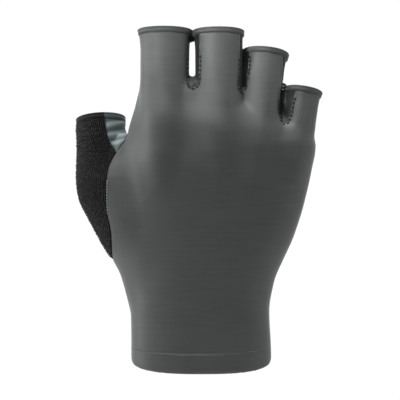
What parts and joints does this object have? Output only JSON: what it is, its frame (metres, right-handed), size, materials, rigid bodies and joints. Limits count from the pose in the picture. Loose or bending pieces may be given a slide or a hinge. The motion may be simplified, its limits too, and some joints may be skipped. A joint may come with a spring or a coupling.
{
  "type": "cycling glove",
  "caption": "Short-fingered stretch glove for the right hand with a long plain cuff, a towelling thumb panel and a soft palm.",
  "frame": {"origin": "middle of the cuff mouth, where the wrist goes in", "axes": "+Z towards the fingertips, +Y towards the palm, +X towards the little finger"},
  "size_m": [0.1208, 0.0479, 0.1683],
  "materials": {
    "stretch_fabric": "smooth fine-knit stretch fabric, satin",
    "palm_leather": "matt synthetic leather, fine grain",
    "towelling": "black looped towelling, matt",
    "rib_fabric": "ribbed stretch fabric, matt",
    "hem_fabric": "rolled edge of the stretch fabric"
  },
  "bodies": {
    "root": {"back_panel": "stretch_fabric", "palm_panel": "palm_leather", "gusset_index_middle": "stretch_fabric", "gusset_middle_ring": "stretch_fabric", "gusset_ring_little": "stretch_fabric", "thumb_outer_panel": "towelling", "thumb_inner_panel": "rib_fabric", "hem_index": "hem_fabric", "hem_middle": "hem_fabric", "hem_ring": "hem_fabric", "hem_little": "hem_fabric", "hem_thumb": "hem_fabric", "cuff_hem": "stretch_fabric"}
  },
  "joints": []
}
